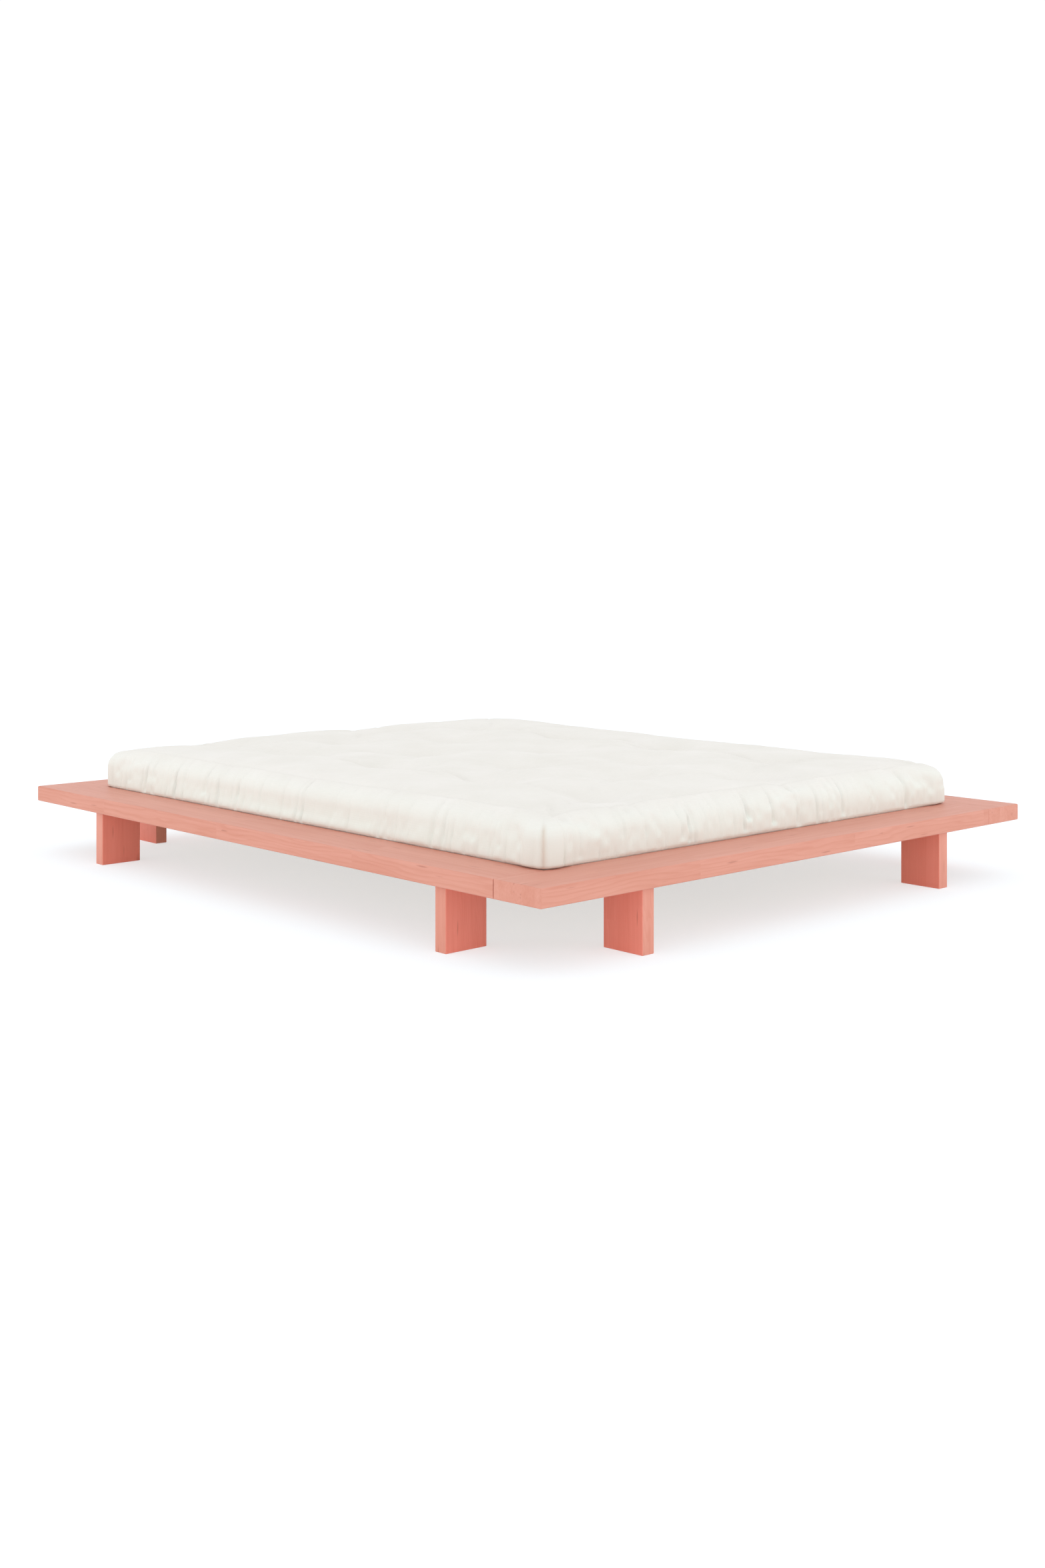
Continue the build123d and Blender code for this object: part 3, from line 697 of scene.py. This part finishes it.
corner_numbers = np.array([0, cells_x, cells_x + cells_y, 2 * cells_x + cells_y])
side_number = np.repeat([0, 1, 2, 3], 2 * np.array([len(lines_x) - 1, len(lines_y) - 1] * 2))
side_reach = np.array([INNER_X, INNER_Y] * 2)[side_number]
side_cells = np.array([cells_x, cells_y] * 2)[side_number]
square_x, square_y = band_square.T
travel = np.choose(side_number, [square_x, square_y, -square_x, -square_y])
round_place = corner_numbers[side_number] + (travel + side_reach) / (2 * side_reach) * side_cells
read_round = weights(round_place, 2 * (cells_x + cells_y), True)

# Rows of the fine band: even ones, and two close ones where the cloth meets the edge of the boards.
wall_height = RIM_Z - EDGE_DROP - BASE_Z
at_edge = (BOARD_TOP + EDGE_ROWS - BASE_Z) / wall_height * WALL_SHARE
up_rows = np.sort(np.concatenate([np.linspace(0, 1, EVEN_ROWS), at_edge]))
BAND_ROWS = len(up_rows) - 1
read_up = weights(up_rows * COARSE_ROWS, COARSE_ROWS + 1, False)
band_moved = np.einsum("ai,bj,ijk->abk", read_up, read_round, band_moved, optimize=True)
print("movement passed on to", top_moved[..., 0].size + band_moved[..., 0].size, "points")

# %% Smooth noise
LATTICE = 64


def smooth_noise(x, y, wavelength, seed):
    """Value noise: random heights on a square lattice of the given wavelength, joined by smoothstep."""
    table = np.random.default_rng(seed).uniform(-1, 1, (LATTICE, LATTICE))
    u, v = x / wavelength + LATTICE / 2, y / wavelength + LATTICE / 2
    i, j = np.floor(u).astype(int), np.floor(v).astype(int)
    a, b = u - i, v - j
    a, b = a * a * (3 - 2 * a), b * b * (3 - 2 * b)
    corners = [table[(i + p) % LATTICE, (j + q) % LATTICE] for q in (0, 1) for p in (0, 1)]
    low = corners[0] * (1 - a) + corners[1] * a
    high = corners[2] * (1 - a) + corners[3] * a
    return low * (1 - b) + high * b


# Height, wavelength and seed of each layer of the wadding's unevenness, from slow to fine.
WADDING = [(4 * MM, 330 * MM, 3), (2.2 * MM, 130 * MM, 4), (0.7 * MM, 48 * MM, 5)]


def top_height(x, y):
    """Height above the rim: the stuffed shape and the unevenness of the wadding."""
    return stuffed(x, y) + sum(high * smooth_noise(x, y, long, seed) for high, long, seed in WADDING)


# %% [markdown]
# ### Gathered sides
# Folds in a gathered band are uneven: a sharp, narrow crease, then a rounded swell until the next one. Most
# start at the bottom seam and die out on the way up. A sine wave would look like a radiator, so each crease
# has a place, a depth, a width, a reach and a slant of its own, drawn from a seeded generator.

# %% Creases of the side band
CREASE_SPACING = 12 * MM
FROM_THE_SEAM = 0.75
rng = np.random.default_rng(7)
crease_count = round(perimeter / CREASE_SPACING)
crease_place = (np.arange(crease_count) + rng.uniform(-0.45, 0.45, crease_count)) / crease_count * perimeter
crease_depth = rng.gamma(1.5, 2.8, crease_count) * MM
crease_width = rng.uniform(3.0, 7.0, crease_count) * MM
crease_reach = rng.uniform(0.5, 1.3, crease_count)
from_seam = rng.uniform(size=crease_count) < FROM_THE_SEAM
crease_start = np.where(from_seam, 0.0, rng.uniform(0.1, 0.5, crease_count))
crease_slant = rng.normal(0, 7, crease_count) * MM


def side_folds(place, up):
    """Depth of the folds at a distance along the band and a height from 0 to 1: each crease is
    depth * exp(-(distance to its line) / width), shown from its start up to its reach."""
    depth = np.zeros_like(place)
    for n in range(crease_count):
        line = crease_place[n] + crease_slant[n] * up
        gap = np.abs((place - line + perimeter / 2) % perimeter - perimeter / 2)
        rise = (up - crease_start[n]) / crease_reach[n]
        shown = np.clip(1 - rise, 0, 1) ** 0.7 * np.clip(rise / 0.06 + 1, 0, 1)
        depth += crease_depth[n] * shown * np.exp(-gap / crease_width[n])
    return depth


print("creases round the side:", crease_count)

# %% Points of the side band
# On the wall the folds move points straight outward, so that the lower rows stay level with the boards. On
# the round edge they move points along the normal of the profile.
SEAM_DEPTH = 6 * MM
SEAM_WIDTH = 2.2 * MM
CALM_WIDTH = 12 * MM
UNEVEN_SIDE = 2.5 * MM
UNEVEN_LENGTH = 150 * MM
BAND_WIDTH = 0.2
up = up_rows[:, None] * np.ones(BAND)
out, height = band_profile(up)
place = along[None, :] * np.ones_like(up)
slope_out = np.where(up < WALL_SHARE, 0.0, np.gradient(out, axis=0))
slope_z = np.gradient(height, axis=0)
slope = np.hypot(slope_out, slope_z)
normal_out, normal_z = slope_z / slope, -slope_out / slope
folds = side_folds(place, up)
swell = UNEVEN_SIDE * smooth_noise(place, up * BAND_WIDTH, UNEVEN_LENGTH, 11)
swell += folds.mean(axis=1, keepdims=True)

# How far a column is from a corner's seam: zero where it lies on the diagonal of the corner.
beyond_corner = np.abs(band_square) - [INNER_X, INNER_Y]
at_corner = (beyond_corner > -INNER_RADIUS).all(axis=1)
to_seam = np.abs(np.abs(outward[:, 0]) - np.abs(outward[:, 1])) * CORNER_RADIUS / math.sqrt(2)
to_seam = np.where(at_corner, to_seam, 1.0)
seam_shown = np.clip((up - 0.06) / 0.06, 0, 1) * np.clip((0.80 - up) / 0.10, 0, 1)
seam = SEAM_DEPTH * np.exp(-(to_seam / SEAM_WIDTH) ** 2) * seam_shown
calm = 1 - 0.6 * np.exp(-(to_seam / CALM_WIDTH) ** 2)
moved = (swell - folds) * calm * np.clip((1 - up) / 0.08, 0, 1) - seam
rim_lift = top_height(band_rim[:, 0], band_rim[:, 1])[None, :]
fade = np.clip((up - 0.3) / 0.7, 0, 1)
fade = fade * fade * (3 - 2 * fade)
band_plan = band_rim + outward * (out + moved * normal_out)[..., None]
band = with_height(band_plan, height + moved * normal_z + rim_lift * fade) + band_moved
print("deepest fold", round(folds.max() * 1000, 1), "mm")

# %% Keep the side clear of the boards
# The boards' inner edge is 20 mm out. Below their top the side stays 1 mm clear of it. The stuffing presses
# the cloth against that edge, so creases open a gap only higher up, where it may also lean out further.
CLEAR_LOW = 19 * MM
CLEAR_HIGH = 34 * MM
PRESSED = 20 * MM
MOST_HEIGHTS = np.array([0, 1, 4, 16]) * MM
MOST_OUT = [CLEAR_LOW, 20.5 * MM, 22.5 * MM, CLEAR_HIGH]
LEAST_HEIGHTS = np.array([-8, 0, 1, 8, 30]) * MM
LEAST_OUT = [0, CLEAR_LOW, PRESSED, PRESSED, 0]
stands_out = ((band[..., :2] - band_wall) * outward).sum(-1)
over_board = band[..., 2] - BOARD_TOP
least = np.interp(over_board, LEAST_HEIGHTS, LEAST_OUT)
most = np.interp(over_board, MOST_HEIGHTS, MOST_OUT)
kept = np.where(up < WALL_SHARE, np.clip(stands_out, least, most), np.minimum(stands_out, most))
band[..., :2] += outward * (kept - stands_out)[..., None]
print("side stands out by", round(float(stands_out.max() * 1000), 1), "mm")
print("kept to", round(CLEAR_HIGH * 1000), "mm")

# %% Square the corners
# An arc grows with its radius, which would make the corners too round, so they are pushed towards square:
# a point at the distance r from the arc's centre moves out by r * (1 / max(|outward x|, |outward y|) - 1)
# times the squareness. Above the boards each corner also stands out by an amount of its own.
SQUARENESS = 0.6
EAR_REACH = 60 * MM
EAR_RISE = 4 * MM
corner_ears = {(-1, -1): 14 * MM, (1, -1): 15 * MM, (-1, 1): 3 * MM, (1, 1): 4 * MM}
to_square = SQUARENESS * (1 / np.abs(outward).max(axis=1) - 1)
arc_centre = band_rim - outward * INNER_RADIUS
arc_distance = ((band[..., :2] - arc_centre) * outward).sum(-1)
above_boards = np.clip((band[..., 2] - BOARD_TOP) / EAR_RISE, 0, 1) * np.clip((1 - up) / 0.3, 0, 1)
push = arc_distance * to_square
for (side_x, side_y), ear in corner_ears.items():
    from_corner = np.hypot(band_wall[:, 0] - side_x * HALF_X, band_wall[:, 1] - side_y * HALF_Y)
    push += ear * np.exp(-(from_corner / EAR_REACH) ** 2) * above_boards
band[..., :2] += outward * push[..., None]
print("corners pushed out by up to", round(float(push.max() * 1000), 1), "mm")

# %% Panels of the fine cover
plan = panel_points(lines_x, lines_y)
top = with_height(plan, RIM_Z + top_height(plan[..., 0], plan[..., 1])) + top_moved
bottom = with_height(plan * bottom_scale, BASE_Z)
print("highest point", round(float(top[..., 2].max() * 1000), 1), "mm")


# %% Fine cover
def stitch(ring, row, flip):
    """Joins a panel's outline to a band row with twice as many points, by three triangles for each cell."""
    after = np.roll(ring, -1)
    first, second, third = row[0::2], row[1::2], np.roll(row, -2)[0::2]
    triangles = [(ring, first, second), (ring, second, after), (after, second, third)]
    faces = np.concatenate([np.stack(t, -1) for t in triangles])
    return (faces[:, ::-1] if flip else faces).tolist()


top_ids = numbered(top.shape[:2], 0)
band_ids = numbered((BAND_ROWS, BAND), top_ids.size)
bottom_ids = numbered(bottom.shape[:2], top_ids.size + band_ids.size)
closed = np.concatenate([band_ids, band_ids[:, :1]], axis=1)
faces = quads(top_ids, False) + quads(bottom_ids, True) + quads(closed, True)
faces += stitch(ring_of(top_ids), band_ids[-1], False) + stitch(ring_of(bottom_ids), band_ids[0], True)
points = np.concatenate([top.reshape(-1, 3), band[:-1].reshape(-1, 3), bottom.reshape(-1, 3)])
print("cover:", len(points), "points,", len(faces), "faces")

# %% [markdown]
# ### Unbleached cotton
# The cover is plain-woven cotton, washed but not bleached: a warm off-white with slightly thicker threads
# here and there. It has no shine, only the faint pale sheen of loose fibres at grazing angles.

# %% Cotton cloth
# Threads are 0.4 mm apart on a real cover. They are drawn coarser, so that the weave shows from near by.
# The side band is painted a cooler, greener white than the top, to cancel the pink light that the coral
# boards reflect onto it: painted light.
THREAD = 1.1 * MM
COTTON_DARK = "#E4E2DC"
COTTON_LIGHT = "#ECEAE6"
PINK_LIGHT_CANCEL_WHITE = "#E9EFE8"
# Colour of the corner seams: partly the darker thread, partly painted shade in the seam's groove.
SEAM_THREAD_AND_SHADE = "#DDD6CA"
cotton, cotton_tree, cotton_shader = new_material("unbleached_plain_woven_cotton")
cloth_uv = add_node(cotton_tree, "UVMap", uv_map="cloth")
threads = {"Vector": cloth_uv, "Scale": 1 / (THREAD * 20), "Distortion": 1.2}
threads.update({"Detail": 1.0, "Detail Scale": 2.0})
warp = add_node(cotton_tree, "TexWave", threads, bands_direction="X").outputs["Fac"]
weft = add_node(cotton_tree, "TexWave", threads, bands_direction="Y").outputs["Fac"]
weave = add_node(cotton_tree, "Math", {0: warp, 1: weft}, operation="MAXIMUM")
slub = add_node(cotton_tree, "Mapping", {"Vector": cloth_uv, "Scale": (30, 420, 1)})
slub = add_node(cotton_tree, "TexNoise", {"Vector": slub, "Scale": 1.0, "Detail": 2.0})
cloud = add_node(cotton_tree, "TexNoise", {"Vector": cloth_uv, "Scale": 6.0, "Detail": 3.0})
tone = add_node(cotton_tree, "Math", {0: slub, 1: 0.5, 2: cloud}, operation="MULTIPLY_ADD")
tone = add_node(cotton_tree, "MapRange", {"Value": tone, "From Min": 0.45, "From Max": 1.05})
cloth_colours = {"Factor": tone, 6: linear(COTTON_DARK), 7: linear(COTTON_LIGHT)}
tint = add_node(cotton_tree, "Mix", cloth_colours, data_type="RGBA").outputs[2]
# Painted light: the side below the rounded edge gets a cooler white that cancels the pink light reflected
# from the boards.
pink_light_cancel_mask = add_node(cotton_tree, "Attribute", attribute_name="pink_light_cancel_mask").outputs["Fac"]
pink_light_cancel_tint = {"Factor": pink_light_cancel_mask, 6: tint, 7: linear(PINK_LIGHT_CANCEL_WHITE)}
tint = add_node(cotton_tree, "Mix", pink_light_cancel_tint, data_type="RGBA").outputs[2]
# Darker along the corner seams, most where the groove is deepest: partly the thread's own colour, partly
# painted shade in the groove.
seam_thread_and_shade = add_node(cotton_tree, "Attribute", attribute_name="seam_thread_and_shade").outputs["Fac"]
seam_tint = {"Factor": seam_thread_and_shade, 6: tint, 7: linear(SEAM_THREAD_AND_SHADE)}
tint = add_node(cotton_tree, "Mix", seam_tint, data_type="RGBA").outputs[2]
cotton_tree.links.new(tint, cotton_shader.inputs["Base Color"])
cotton_shader.inputs["Roughness"].default_value = 0.92
cotton_shader.inputs["Specular IOR Level"].default_value = 0.25
cotton_shader.inputs["Sheen Weight"].default_value = 0.12
cotton_shader.inputs["Sheen Roughness"].default_value = 0.5
relief = add_node(cotton_tree, "Math", {0: slub, 1: 1.5, 2: weave}, operation="MULTIPLY_ADD")
weave_bump = add_node(cotton_tree, "Bump", {"Height": relief, "Strength": 0.35, "Distance": 0.25 * MM})
cotton_tree.links.new(weave_bump.outputs[0], cotton_shader.inputs["Normal"])
print("thread spacing", THREAD * 1000, "mm")

# %% Sew the futon
futon = mesh_object("futon", points, faces, cotton)
flat = np.concatenate([
    plan.reshape(-1, 2),
    np.stack([place[:-1], up[:-1] * BAND_WIDTH], -1).reshape(-1, 2),
    (plan * bottom_scale).reshape(-1, 2),
])
corner_points = np.empty(len(futon.data.loops), int)
futon.data.loops.foreach_get("vertex_index", corner_points)
cloth_map = futon.data.uv_layers.new(name="cloth")
cloth_map.data.foreach_set("uv", flat[corner_points].astype(np.float32).ravel())
# The first attribute marks the side for its painted light correction, the second the corner seams' thread and
# the painted shade of their grooves.
for name, values in {"pink_light_cancel_mask": 1 - fade, "seam_thread_and_shade": seam / SEAM_DEPTH}.items():
    values = np.concatenate([np.zeros(top_ids.size), values[:-1].ravel(), np.zeros(bottom_ids.size)])
    futon.data.attributes.new(name, "FLOAT", "POINT").data.foreach_set("value", values.astype(np.float32))
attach(futon, "futon")
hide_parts("futon_mattress")
print("futon sewn:", len(futon.data.polygons), "faces")
